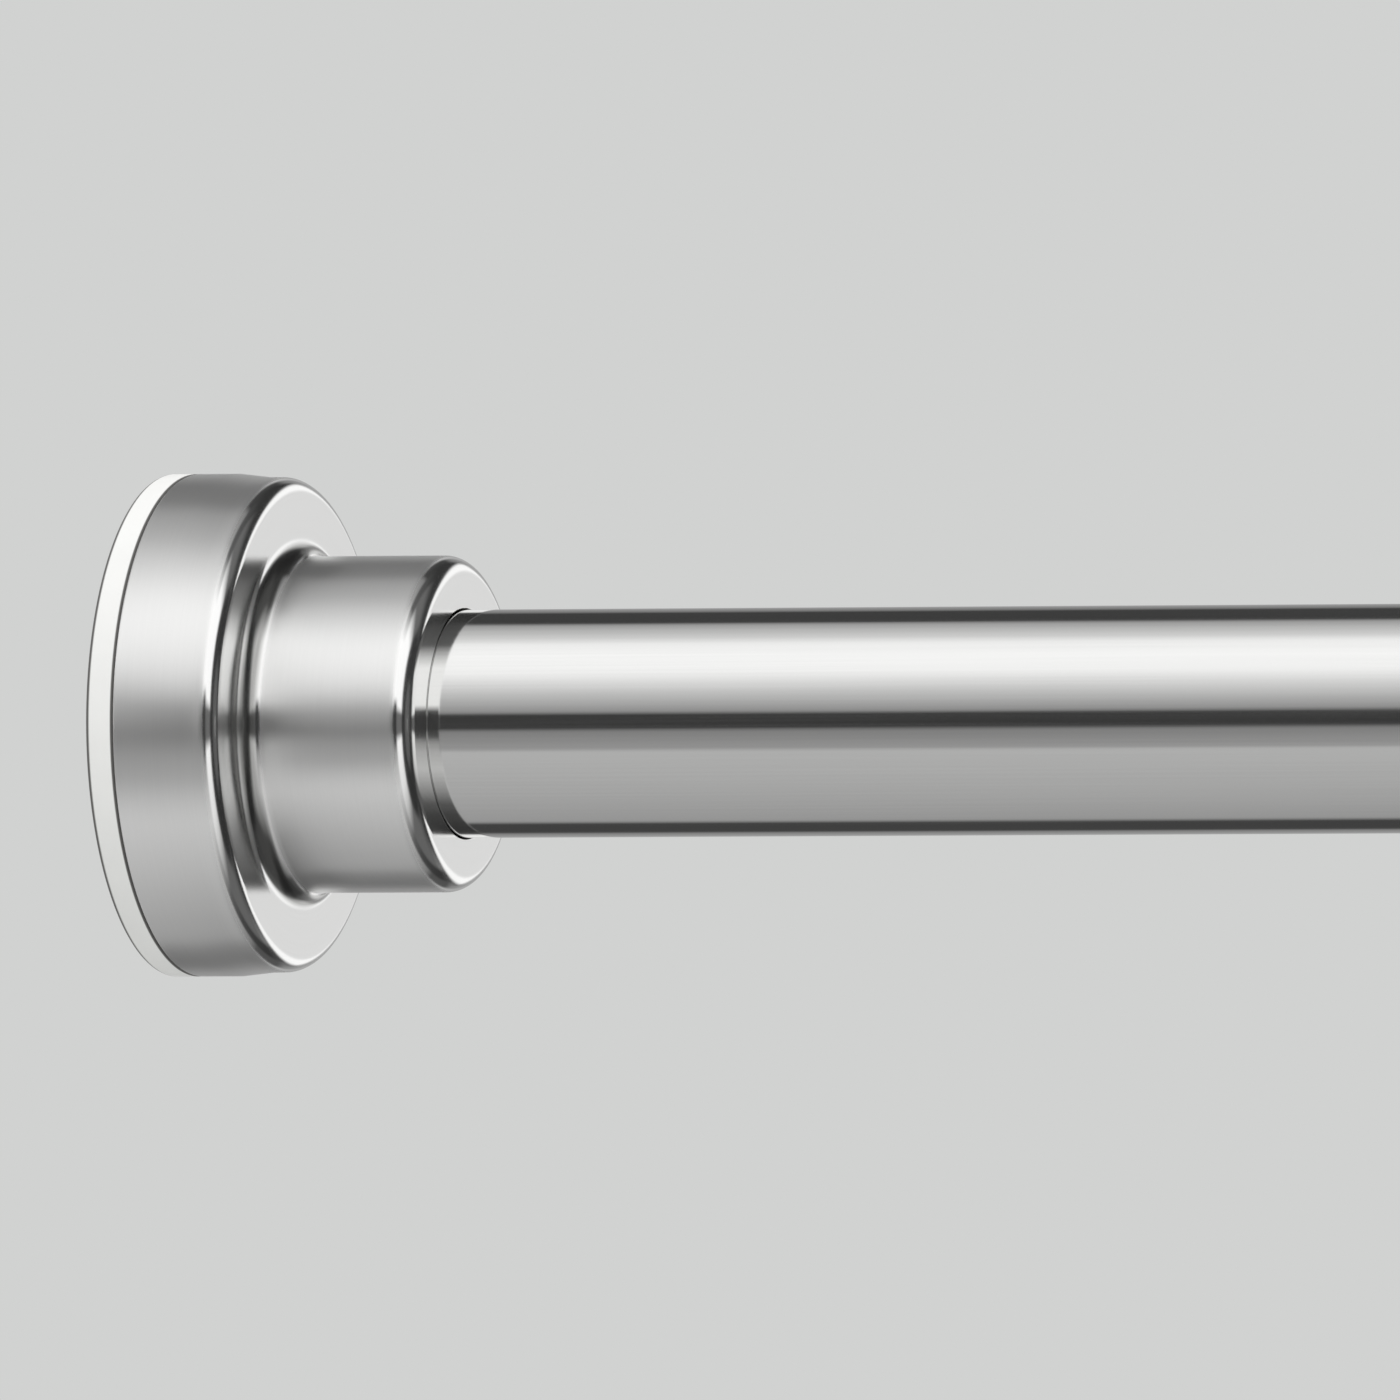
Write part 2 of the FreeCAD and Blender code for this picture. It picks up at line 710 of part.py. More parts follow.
def spindle():
    """Hexagon spindle, drilled at the left for the lock's screw and turned down to a stud at the right."""
    body = new_body("spindle")
    length = stop_start - cam_start
    hexagon = new_sketch(body, "hexagon", "YZ_Plane")
    draw_hexagon(hexagon, size.spindle_flats)
    raised(body, "bar", hexagon, length)
    tip = length + size.stud_length
    turned(body, "stud", [
        (length - size.stud_chamfer, 0),
        (length - size.stud_chamfer, stud_r),
        (tip - size.stud_chamfer, stud_r),
        (tip, stud_r - size.stud_chamfer),
        (tip, 0),
    ])
    drilling = size.end_screw_length + size.stud_chamfer
    turned_cut(body, "drilling", [
        (0, 0),
        (0, screw_r + size.socket_gap),
        (drilling, screw_r + size.socket_gap),
        (drilling + screw_r / 2, 0),
    ])
    return place(body, cam_start)


def coil_run(body, name, station, pitch, turns, wire_r, coil_r):
    """Some turns of the spring's wire, wound on from a station."""
    section = new_sketch(body, f"{name}_wire", "XZ_Plane")
    draw_circle(section, wire_r, station, coil_r)
    coil = body.newObject("PartDesign::AdditiveHelix", name)
    coil.Profile = section
    coil.ReferenceAxis = (section, ["H_Axis"])
    coil.Mode = "pitch-turns-angle"
    coil.setExpression("Pitch", text_of(pitch))
    coil.Turns = turns
    return coil


def tension_spring():
    """Compression spring with closed ends ground flat."""
    body = new_body("tension_spring")
    wire_r = size.spring_wire / 2
    coil_r = tube_bore_r - size.spring_gap - wire_r
    closed_pitch = size.spring_wire * 1.02
    first = wire_r / 2
    open_start = first + closed_pitch
    open_end = size.spring_length - first - closed_pitch
    coil_run(body, "left_closed_turn", first, closed_pitch, 1, wire_r, coil_r)
    open_pitch = (open_end - open_start) / SPRING_TURNS
    coil_run(body, "open_turns", open_start, open_pitch, SPRING_TURNS, wire_r, coil_r)
    coil_run(body, "right_closed_turn", open_end, closed_pitch, 1, wire_r, coil_r)
    inner = coil_r - size.spring_wire
    outer = coil_r + size.spring_wire
    turned_cut(body, "left_grinding", [
        (0, inner),
        (0, outer),
        (-size.spring_wire, outer),
        (-size.spring_wire, inner),
    ])
    beyond = size.spring_length + size.spring_wire
    turned_cut(body, "right_grinding", [
        (size.spring_length, inner),
        (size.spring_length, outer),
        (beyond, outer),
        (beyond, inner),
    ])
    return place(body, spring_start)


def pole_plug():
    """Plug in the pole's left end, pushed by the spring and sliding on the hexagon spindle."""
    body = new_body("pole_plug")
    spigot_r = pole_bore_r - size.socket_gap
    head_r = tube_bore_r - size.guide_gap
    tip = size.pole_plug_head + size.pole_plug_depth
    edge = smaller(size.plug_taper, size.pole_plug_head / 3)
    sketch = new_sketch(body, "core_outline", "YZ_Plane")
    draw_circle(sketch, spigot_r - size.rib_height)
    raised(body, "core", sketch, tip)
    turned(body, "head", [
        (0, 0),
        (0, head_r, edge),
        (size.pole_plug_head, head_r),
        (size.pole_plug_head, 0),
    ])
    crush_ribs(body, spigot_r, size.pole_plug_head / 2, tip)
    hexagon_bore(body, size.spindle_flats + size.spindle_gap)
    return place(body, pole_plug_start)


def spindle_nut():
    """Hexagon nut on the stud."""
    body = new_body("spindle_nut")
    blank = new_sketch(body, "hexagon", "YZ_Plane")
    draw_hexagon(blank, size.nut_flats)
    draw_circle(blank, stud_r + size.socket_gap)
    raised(body, "nut", blank, size.nut_height)
    return place(body, nut_start)


def end_fitting(end):
    """The pieces between the rod and one wall."""
    return [wall_pad(end), foot(end), foot_screw(end), tube_plug(end), flange_cover(end)]


def check(bodies):
    """Stops if a feature failed, if a cut removed nothing, or if a piece isn't one sound solid."""
    for item in document.Objects:
        if "Invalid" in item.State or "Error" in item.State:
            raise RuntimeError(f"{item.Label} in {item.getParentGeoFeatureGroup()} failed: {item.State}")
        if item.TypeId in ("PartDesign::Pocket", "PartDesign::Groove"):
            if item.BaseFeature.Shape.Volume - item.Shape.Volume < TINY:
                raise RuntimeError(f"{item.Label} cuts nothing")
    for body in bodies:
        shape = body.Shape
        if shape.isNull() or not shape.isValid() or len(shape.Solids) != 1:
            raise RuntimeError(f"{body.Label} is not one sound solid")


left = SimpleNamespace(name="left", is_right=False, rod_r=tube_r, bore_r=tube_bore_r)
right = SimpleNamespace(name="right", is_right=True, rod_r=pole_r, bore_r=pole_bore_r)

pieces = [
    *end_fitting(left),
    *end_fitting(right),
    tube("outer_tube", tube_r, tube_bore_r, tube_start, tube_end),
    tube("inner_tube", pole_r, pole_bore_r, pole_start, pole_end),
    mouth_bush(),
    lock_end_screw(),
    washer("lock_end_washer", washer_r, screw_r + size.fit_gap, size.end_washer, end_washer_start),
    eccentric_cam(),
    lock_ring(),
    lock_glide(),
    spindle(),
    washer("spring_washer", washer_r, spindle_bore_r, size.spring_washer_thick, spring_washer_start),
    tension_spring(),
    pole_plug(),
    washer(
        "spindle_washer", size.stop_washer_d / 2, stud_r + size.fit_gap, size.stop_washer_thick, stop_start,
    ),
    spindle_nut(),
]
document.recompute()
check(pieces)

os.makedirs("parts", exist_ok=True)
for piece in pieces:
    piece.Shape.exportStep(f"parts/{piece.Label}.step")
    print(f"{piece.Label}: {piece.Shape.Volume / 1000:.3f} cm3")
print(f"overall length {rod_length.value:.1f} mm")
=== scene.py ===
import json
import math
import bmesh
import bpy
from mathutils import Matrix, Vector

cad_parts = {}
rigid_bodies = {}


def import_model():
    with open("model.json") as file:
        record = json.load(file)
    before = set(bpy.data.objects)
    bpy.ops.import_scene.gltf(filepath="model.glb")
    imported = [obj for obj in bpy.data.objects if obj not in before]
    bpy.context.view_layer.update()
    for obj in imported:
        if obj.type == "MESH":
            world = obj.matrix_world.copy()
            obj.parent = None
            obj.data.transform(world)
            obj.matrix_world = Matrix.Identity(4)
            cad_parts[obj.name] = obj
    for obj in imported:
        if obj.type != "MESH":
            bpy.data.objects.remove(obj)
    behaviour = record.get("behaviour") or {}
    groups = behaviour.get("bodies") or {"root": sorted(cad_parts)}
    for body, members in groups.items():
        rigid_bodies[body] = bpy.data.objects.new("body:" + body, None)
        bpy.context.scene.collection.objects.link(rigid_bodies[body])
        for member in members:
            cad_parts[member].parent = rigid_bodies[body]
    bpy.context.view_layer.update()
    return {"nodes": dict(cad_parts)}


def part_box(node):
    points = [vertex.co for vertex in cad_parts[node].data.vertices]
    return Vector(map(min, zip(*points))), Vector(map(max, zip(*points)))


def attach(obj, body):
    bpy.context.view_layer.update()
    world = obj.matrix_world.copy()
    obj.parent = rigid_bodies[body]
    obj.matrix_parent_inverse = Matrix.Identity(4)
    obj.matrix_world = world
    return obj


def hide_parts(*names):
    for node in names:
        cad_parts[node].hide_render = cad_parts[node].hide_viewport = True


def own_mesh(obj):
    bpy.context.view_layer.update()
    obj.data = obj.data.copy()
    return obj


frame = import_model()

# The rod lies along X from the left wall, at 0, to the right wall. Sizes are in millimetres, and are
# turned to metres where a piece or a pattern is made.
MM = 0.001
QUARTER = math.pi / 2

# Points nearer than TOUCH are at the same station or radius, and points nearer than MERGE become one
TOUCH, MERGE = 0.02 * MM, 0.002 * MM

# Sides of a turned piece, and of the foot, which the cover hides
AROUND, FOOT_AROUND = 160, 96

# Faces that meet at less than this are smoothed into each other
SMOOTH_BELOW = math.radians(30)

SIDES = ("left", "right")
LOW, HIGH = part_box("left_wall_pad")[0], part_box("right_wall_pad")[1]
SPAN = (HIGH[0] - LOW[0]) / MM
MIDDLE = SPAN / 2

# The rod's two tubes, as radii, and which one goes into each end
TUBE_R, TUBE_BORE_R = 12.7, 11.9
POLE_R, POLE_BORE_R = 11.0, 10.2
ROD_R = {"left": TUBE_R, "right": POLE_R}
DEBURR = 0.2

# The cover, as radii and as distances from the nearer wall. Its drum tapers in over a part of its depth.
PAD_RIM, DRUM_FACE, HUB_FACE = 3.2, 15.3, 34.8
RIM_R, TAPER, HUB_R, SHEET = 28.0, 0.4, 18.75, 0.8
DRUM_R, DRUM_DEPTH = RIM_R - TAPER, DRUM_FACE - PAD_RIM
TAPER_START, TAPER_END = PAD_RIM + DRUM_DEPTH * 0.4, PAD_RIM + DRUM_DEPTH * 0.7
SHOULDER, VALLEY, NOSE, LIP = 2.1, 2.6, 2.4, 0.3

# The foot, which sits in the pad, and its gussets
FOOT_SEAT, FOOT_DISC_R, GUSSETS = 2.4, 24.4, 8

# The spring, at rest
SPRING_START, SPRING_LENGTH, SPRING_TRAVEL, SPRING_TURNS = 76.0, 60.0, 25.0, 8

END_BODY = {"left": "outer_pole", "right": "inner_pole"}
COVER_BODY = {"left": "left_cover", "right": "right_cover"}


# Modelling

def deselect():
    """Nothing stays selected, so that an operator acts on the new piece alone."""
    if bpy.context.object and bpy.context.object.mode != "OBJECT":
        bpy.ops.object.mode_set(mode="OBJECT")
    bpy.ops.object.select_all(action="DESELECT")


def start_circle(name, sides, radius, centre, turn, fill):
    """A circle at its place, in edit mode and selected."""
    deselect()
    bpy.ops.mesh.primitive_circle_add(
        vertices=sides,
        radius=radius * MM,
        fill_type=fill,
        location=[distance * MM for distance in centre],
        rotation=turn,
    )
    piece = bpy.context.object
    piece.name = piece.data.name = name
    bpy.ops.object.transform_apply(location=True, rotation=True, scale=True)
    bpy.ops.object.mode_set(mode="EDIT")
    bpy.ops.mesh.select_all(action="SELECT")
    return piece


def turned_piece(name, profile, around=AROUND):
    """A solid of revolution: a ring extruded from point to point of a closed (station, radius) profile."""
    station, radius = profile[0]
    piece = start_circle(name, around, radius, (station, 0, 0), (0, QUARTER, 0), "NOTHING")
    for next_station, next_radius in profile[1:] + profile[:1]:
        bpy.ops.mesh.extrude_region_move(
            TRANSFORM_OT_translate={"value": ((next_station - station) * MM, 0, 0)}
        )
        ratio = next_radius / radius
        bpy.ops.transform.resize(value=(1, ratio, ratio), center_override=(next_station * MM, 0, 0))
        station, radius = next_station, next_radius
    bpy.ops.mesh.select_all(action="SELECT")
    bpy.ops.mesh.remove_doubles(threshold=MERGE)
    bpy.ops.mesh.normals_make_consistent(inside=False)
    return piece


def select_ring(piece, station, radius):
    """Selects the ring of edges at a station and radius."""
    bpy.ops.mesh.select_mode(type="EDGE")
    bpy.ops.mesh.select_all(action="DESELECT")
    work = bmesh.from_edit_mesh(piece.data)
    for edge in work.edges:
        edge.select_set(all(
            abs(point.co.x - station * MM) < TOUCH
            and abs(math.hypot(point.co.y, point.co.z) - radius * MM) < TOUCH
            for point in edge.verts
        ))
    bmesh.update_edit_mesh(piece.data)


def round_ring(piece, station, radius, rounding, steps):
    """Rounds the ring of edges at a station and radius."""
    select_ring(piece, station, radius)
    bpy.ops.mesh.bevel(offset=rounding * MM, segments=steps, profile=0.5, affect="EDGES")


def finish_piece(piece, side=None):
    """Turns a piece for the right wall round, and smooths it so that its large faces stay true."""
    if side == "right":
        bpy.ops.mesh.select_all(action="SELECT")
        bpy.ops.transform.rotate(value=math.pi, orient_axis="Z", center_override=(MIDDLE * MM, 0, 0))
    bpy.ops.object.mode_set(mode="OBJECT")
    bpy.ops.object.shade_smooth_by_angle(angle=SMOOTH_BELOW)
    bpy.ops.object.modifier_add(type="WEIGHTED_NORMAL")
    weighted = piece.modifiers[-1]
    weighted.keep_sharp = True
    bpy.ops.object.modifier_apply(modifier=weighted.name)


# Materials

def linear(hex_code):
    """An sRGB hex colour as linear red, green, blue and alpha."""
    parts = [int(hex_code[k:k + 2], 16) / 255 for k in (1, 3, 5)]
    return tuple(p / 12.92 if p <= 0.04045 else ((p + 0.055) / 1.055) ** 2.4 for p in parts) + (1.0,)


def add_node(tree, kind, inputs, **settings):
    """Adds a node; each input is a value, a socket, or a node whose first result feeds it. An input is
    named, or numbered where names repeat: a mix of colours takes its two colours on 6 and 7."""
    made = tree.nodes.new(kind)
    for name, value in settings.items():
        setattr(made, name, value)
    for name, value in inputs.items():
        if isinstance(value, bpy.types.Node):
            value = next(result for result in value.outputs if result.enabled)
        if isinstance(value, bpy.types.NodeSocket):
            tree.links.new(value, made.inputs[name])
        else:
            made.inputs[name].default_value = value
    return made


def new_material(name):
    """An empty material, its node tree, and the place of a point in its object."""
    material = bpy.data.materials.new(name)
    material.use_nodes = True
    tree = material.node_tree
    tree.nodes.clear()
    return material, tree, add_node(tree, "ShaderNodeTexCoord", {}).outputs["Object"]


def turned_place(tree, place):
    """A point's distance from the nearer wall and from the rod's axis, and its Y and Z."""
    parts = add_node(tree, "ShaderNodeSeparateXYZ", {0: place}).outputs
    past_middle = add_node(tree, "ShaderNodeMath", {0: parts["X"], 1: MIDDLE * MM}, operation="SUBTRACT")
    from_middle = add_node(tree, "ShaderNodeMath", {0: past_middle}, operation="ABSOLUTE")
    station = add_node(tree, "ShaderNodeMath", {0: MIDDLE * MM, 1: from_middle}, operation="SUBTRACT")
    across = add_node(tree, "ShaderNodeCombineXYZ", {"Y": parts["Y"], "Z": parts["Z"]})
    radius = add_node(tree, "ShaderNodeVectorMath", {0: across}, operation="LENGTH")
    return station, radius, parts["Y"], parts["Z"]


def polished_sheet():
    """Drawn stainless sheet: fine lines run round it, its sides are satin, and its roundings are buffed
    bright; deep in the valley the steel is a little rougher and its colour is darkened as painted shade."""
    material, tree, place = new_material("polished_stainless_sheet")
    station, radius, y, z = turned_place(tree, place)

    # The polishing lines, drawn coarser than the real ones of about 0.05 mm, so that they show
    line = 0.22 * MM
    length = line * 60
    grain_x, grain_y, grain_z, grain_w = (
        add_node(tree, "ShaderNodeMath", {0: distance, 1: size}, operation="DIVIDE")
        for distance, size in ((station, line), (radius, line), (y, length), (z, length))
    )
    grain = add_node(tree, "ShaderNodeCombineXYZ", {"X": grain_x, "Y": grain_y, "Z": grain_z})
    lines = add_node(tree, "ShaderNodeTexNoise", {
        "Vector": grain, "W": grain_w, "Scale": 1.0, "Detail": 3.0, "Roughness": 0.6,
    }, noise_dimensions="4D")

    # Satin where the radius is the drum's or the hub's, and painted shade deep in the valley between them
    satin_none, satin_all = 0.15, 0.02
    shade_none, shade_all = VALLEY * 0.75, VALLEY * 0.45
    hub_gap = add_node(tree, "ShaderNodeMath", {0: radius, 1: HUB_R * MM}, operation="SUBTRACT")
    hub_gap = add_node(tree, "ShaderNodeMath", {0: hub_gap}, operation="ABSOLUTE")
    drum_side, hub_side, near_hub, near_face = (
        add_node(tree, "ShaderNodeMapRange", {
            "Value": distance, "From Min": start * MM, "From Max": end * MM,
        }, interpolation_type="SMOOTHSTEP")
        for distance, start, end in (
            (radius, DRUM_R - satin_none, DRUM_R - satin_all),
            (hub_gap, satin_none, satin_all),
            (radius, HUB_R + shade_none, HUB_R + shade_all),
            (station, DRUM_FACE + shade_none, DRUM_FACE + shade_all),
        )
    )
    side = add_node(tree, "ShaderNodeMath", {0: drum_side, 1: hub_side}, operation="MAXIMUM")
    valley = add_node(tree, "ShaderNodeMath", {0: near_hub, 1: near_face}, operation="MULTIPLY")

    # The roughness of buffed steel, and what the lines, the satin and the valley add to it
    rough = 0.08
    for amount, more in ((lines, 0.06), (side, 0.24), (valley, 0.04)):
        rough = add_node(tree, "ShaderNodeMath", {0: amount, 1: more, 2: rough}, operation="MULTIPLY_ADD")
    bright = add_node(tree, "ShaderNodeMix", {
        "Factor": lines, 6: linear("#ECECEB"), 7: linear("#F3F3F2"),
    }, data_type="RGBA")
    # Painted shade: a darker steel colour deep in the valley
    painted_valley_shade = add_node(tree, "ShaderNodeMix", {
        "Factor": lines, 6: linear("#8E8E8C"), 7: linear("#BABAB8"),
    }, data_type="RGBA")
    tint = add_node(tree, "ShaderNodeMix", {"Factor": valley, 6: bright, 7: painted_valley_shade}, data_type="RGBA")
    bump = add_node(tree, "ShaderNodeBump", {"Strength": 0.10, "Distance": 0.02 * MM, "Height": lines})
    round_axis = add_node(tree, "ShaderNodeTangent", {}, direction_type="RADIAL", axis="X")
    steel = add_node(tree, "ShaderNodeBsdfPrincipled", {
        "Base Color": tint, "Metallic": 1.0, "Roughness": rough, "Normal": bump,
        "Anisotropic": 0.9, "Anisotropic Rotation": 0.25, "Tangent": round_axis,
    })
    add_node(tree, "ShaderNodeOutputMaterial", {"Surface": steel})
    return material


def polished_tube():
    """Welded stainless tube, belt polished along its length to a near mirror with faint lengthwise lines."""
    material, tree, place = new_material("polished_stainless_tube")
    # The lines are drawn coarser than the real ones of about 0.05 mm, so that they show
    line = 0.25 * MM
    length = line * 250
    grain = add_node(tree, "ShaderNodeMapping", {"Vector": place, "Scale": (1 / length, 1 / line, 1 / line)})
    lines = add_node(tree, "ShaderNodeTexNoise", {
        "Vector": grain, "Scale": 1.0, "Detail": 3.0, "Roughness": 0.55,
    })
    rough = add_node(tree, "ShaderNodeMapRange", {
        "Value": lines, "From Min": 0.25, "From Max": 0.75, "To Min": 0.06, "To Max": 0.12,
    })
    bump = add_node(tree, "ShaderNodeBump", {"Strength": 0.06, "Distance": 0.02 * MM, "Height": lines})
    tint = add_node(tree, "ShaderNodeMix", {
        "Factor": lines, 6: linear("#E3E3E2"), 7: linear("#ECECEB"),
    }, data_type="RGBA")
    steel = add_node(tree, "ShaderNodeBsdfPrincipled", {
        "Base Color": tint, "Metallic": 1.0, "Roughness": rough, "Normal": bump,
    })
    add_node(tree, "ShaderNodeOutputMaterial", {"Surface": steel})
    return material


def white_rubber():
    """Soft white rubber: matt, with its mould's fine grain and a painted contact shadow, a dark line at the
    wall and the cover.
    """
    material, tree, place = new_material("white_rubber")
    station, radius, _, _ = turned_place(tree, place)

    # Painted contact shadow, from none to all: near the wall, near the cover, and only on the rim
    at_wall, at_cover, on_rim = (
        add_node(tree, "ShaderNodeMapRange", {
            "Value": distance, "From Min": start * MM, "From Max": end * MM,
        }, interpolation_type="SMOOTHSTEP")
        for distance, start, end in (
            (station, 0.55, 0.33),
            (station, PAD_RIM - 0.32, PAD_RIM - 0.16),
            (radius, RIM_R - 1.0, RIM_R - 0.4),
        )
    )
    painted_contact_shadow = add_node(tree, "ShaderNodeMath", {0: at_wall, 1: at_cover}, operation="MAXIMUM")
    painted_contact_shadow = add_node(tree, "ShaderNodeMath", {0: painted_contact_shadow, 1: on_rim}, operation="MULTIPLY")

    grain = add_node(tree, "ShaderNodeTexNoise", {
        "Vector": place, "Scale": 1 / (0.3 * MM), "Detail": 4.0, "Roughness": 0.6,
    })
    clouds = add_node(tree, "ShaderNodeTexNoise", {"Vector": place, "Scale": 1 / (6 * MM), "Detail": 3.0})
    clean = add_node(tree, "ShaderNodeMix", {
        "Factor": clouds, 6: linear("#FAFAF8"), 7: linear("#F2F2F0"),
    }, data_type="RGBA")
    # Painted contact shadow: the edges at the wall and the cover are darkened to a dark grey
    tint = add_node(tree, "ShaderNodeMix", {"Factor": painted_contact_shadow, 6: clean, 7: linear("#5F5E5C")}, data_type="RGBA")
    rough = add_node(tree, "ShaderNodeMapRange", {"Value": grain, "To Min": 0.48, "To Max": 0.66})
    bump = add_node(tree, "ShaderNodeBump", {"Strength": 0.25, "Distance": 0.03 * MM, "Height": grain})
    rubber = add_node(tree, "ShaderNodeBsdfPrincipled", {
        "Base Color": tint, "Roughness": rough, "Normal": bump,
        "IOR": 1.45, "Sheen Weight": 0.08, "Sheen Roughness": 0.5,
    })
    add_node(tree, "ShaderNodeOutputMaterial", {"Surface": rubber})
    return material


def moulded(name, light, dark, smoothest, roughest, grain_mm):
    """Moulded plastic: an even colour with faint flow clouds and the grain of the mould."""
    material, tree, place = new_material(name)
    grain = add_node(tree, "ShaderNodeTexNoise", {
        "Vector": place, "Scale": 1 / (grain_mm * MM), "Detail": 3.0,
    })
    clouds = add_node(tree, "ShaderNodeTexNoise", {"Vector": place, "Scale": 1 / (9 * MM), "Detail": 2.0})
    tint = add_node(tree, "ShaderNodeMix", {
        "Factor": clouds, 6: linear(light), 7: linear(dark),
    }, data_type="RGBA")
    rough = add_node(tree, "ShaderNodeMapRange", {"Value": grain, "To Min": smoothest, "To Max": roughest})
    bump = add_node(tree, "ShaderNodeBump", {"Strength": 0.15, "Distance": 0.03 * MM, "Height": grain})
    plastic = add_node(tree, "ShaderNodeBsdfPrincipled", {
        "Base Color": tint, "Roughness": rough, "Normal": bump, "IOR": 1.5,
    })
    add_node(tree, "ShaderNodeOutputMaterial", {"Surface": plastic})
    return material


def small_steel(name, light, dark, smoothest, roughest, grain_mm):
    """Small steel parts: a little cloudy and finely scratched."""
    material, tree, place = new_material(name)
    grain = add_node(tree, "ShaderNodeTexNoise", {
        "Vector": place, "Scale": 1 / (grain_mm * MM), "Detail": 4.0, "Roughness": 0.6,
    })
    tint = add_node(tree, "ShaderNodeMix", {
        "Factor": grain, 6: linear(light), 7: linear(dark),
    }, data_type="RGBA")
    rough = add_node(tree, "ShaderNodeMapRange", {"Value": grain, "To Min": smoothest, "To Max": roughest})
    bump = add_node(tree, "ShaderNodeBump", {"Strength": 0.1, "Distance": 0.02 * MM, "Height": grain})
    steel = add_node(tree, "ShaderNodeBsdfPrincipled", {
        "Base Color": tint, "Metallic": 1.0, "Roughness": rough, "Normal": bump,
    })
    add_node(tree, "ShaderNodeOutputMaterial", {"Surface": steel})
    return material


SHEET_STEEL = polished_sheet()
TUBE_STEEL = polished_tube()
RUBBER = white_rubber()

# Injection moulded ABS, for the feet and the bush: a clean white with a soft sheen
ABS = moulded("white_abs", "#E9E8E4", "#E1E0DB", 0.34, 0.46, 0.5)

# Moulded acetal, for the lock's sliding parts: a creamier white, smooth and waxy
ACETAL = moulded("white_acetal", "#E4E2DC", "#DAD8D1", 0.26, 0.36, 0.8)

# Moulded nylon, for the plugs: mid grey and dull
GREY_NYLON = moulded("grey_nylon", "#6D6F71", "#626466", 0.40, 0.52, 0.5)

# Moulded nylon, for the cam: black with a satin sheen
BLACK_NYLON = moulded("black_nylon", "#1C1C1D", "#161617", 0.36, 0.5, 0.5)

# Bright zinc plate, on screws, washers, nut and spindle: pale blue grey with a blurred shine
ZINC = small_steel("bright_zinc_plate", "#C2C6CB", "#A9AEB6", 0.22, 0.34, 1.2)

# Drawn spring wire, oiled: dark brown grey and satin
SPRING_WIRE = small_steel("oiled_spring_wire", "#6A6663", "#4F4C4A", 0.28, 0.42, 0.6)


def dress(piece, material, body, slot, *nodes):
    """Gives a new piece its material and its body, and hides the solids that it stands for. The slot is not
    used.
    """
    piece.data.materials.clear()
    piece.data.materials.append(material)
    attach(piece, body)
    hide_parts(*nodes)


# Pieces

def flange_cover(side):
    """Two-step cover drawn from one sheet: drum, shoulder, flat face, hollow valley, hub and nose."""
    rod_gap = 0.15
    hole_r = ROD_R[side] + rod_gap
    cover = turned_piece(f"{side}_cover_sheet", [
        (PAD_RIM, RIM_R),
        (TAPER_START, RIM_R),
        (TAPER_END, DRUM_R),
        (DRUM_FACE, DRUM_R),
        (DRUM_FACE, HUB_R),
        (HUB_FACE, HUB_R),
        (HUB_FACE, hole_r),
        (HUB_FACE - SHEET, hole_r),
        (HUB_FACE - SHEET, HUB_R - SHEET),
        (DRUM_FACE - SHEET, HUB_R - SHEET),
        (DRUM_FACE - SHEET, DRUM_R - SHEET),
        (TAPER_END, DRUM_R - SHEET),
        (TAPER_START, RIM_R - SHEET),
        (PAD_RIM, RIM_R - SHEET),
    ])
    round_ring(cover, DRUM_FACE, DRUM_R, SHOULDER, steps=14)
    round_ring(cover, DRUM_FACE, HUB_R, VALLEY, steps=12)
    round_ring(cover, HUB_FACE, HUB_R, NOSE, steps=12)
    round_ring(cover, DRUM_FACE - SHEET, DRUM_R - SHEET, SHOULDER - SHEET, steps=8)
    round_ring(cover, DRUM_FACE - SHEET, HUB_R - SHEET, VALLEY + SHEET, steps=8)
    round_ring(cover, HUB_FACE - SHEET, HUB_R - SHEET, NOSE - SHEET, steps=8)
    round_ring(cover, PAD_RIM, RIM_R, LIP, steps=5)
    round_ring(cover, HUB_FACE, hole_r, LIP / 2, steps=4)
    finish_piece(cover, side)
    dress(cover, SHEET_STEEL, COVER_BODY[side], "polished_stainless", f"{side}_flange_cover")


def wall_pad(side):
    """Rubber pad with a soft edge at the wall, grip rings in its wall face and a lip that holds the foot."""
    spigot_r, spigot_end, pocket_r = 27.1, 6.9, 24.5
    lip_r, lip_start = 23.4, 5.5
    grips, first_grip, grip_step = 4, 8.0, 4.0
    grip_depth, grip_width, grip_slope = 0.8, 1.2, 0.1
    wall_edge, cover_edge, spigot_edge = 0.5, 0.25, 0.5
    # The profile stops just short of the axis, where a ring would have no size
    axis_r = 0.02
    profile = [(FOOT_SEAT, axis_r), (0.0, axis_r)]
    for number in range(grips):
        inner = first_grip + grip_step * number
        profile += [
            (0.0, inner),
            (grip_depth, inner + grip_slope),
            (grip_depth, inner + grip_width - grip_slope),
            (0.0, inner + grip_width),
        ]
    profile += [
        (0.0, RIM_R),
        (PAD_RIM, RIM_R),
        (PAD_RIM, spigot_r),
        (spigot_end, spigot_r),
        (spigot_end, lip_r),
        (lip_start, lip_r),
        (lip_start, pocket_r),
        (FOOT_SEAT, pocket_r),
    ]
    pad = turned_piece(f"{side}_pad_rubber", profile)
    round_ring(pad, 0.0, RIM_R, wall_edge, steps=6)
    round_ring(pad, PAD_RIM, RIM_R, cover_edge, steps=4)
    round_ring(pad, spigot_end, spigot_r, spigot_edge, steps=4)
    finish_piece(pad, side)
    dress(pad, RUBBER, END_BODY[side], "white_rubber", f"{side}_wall_pad")


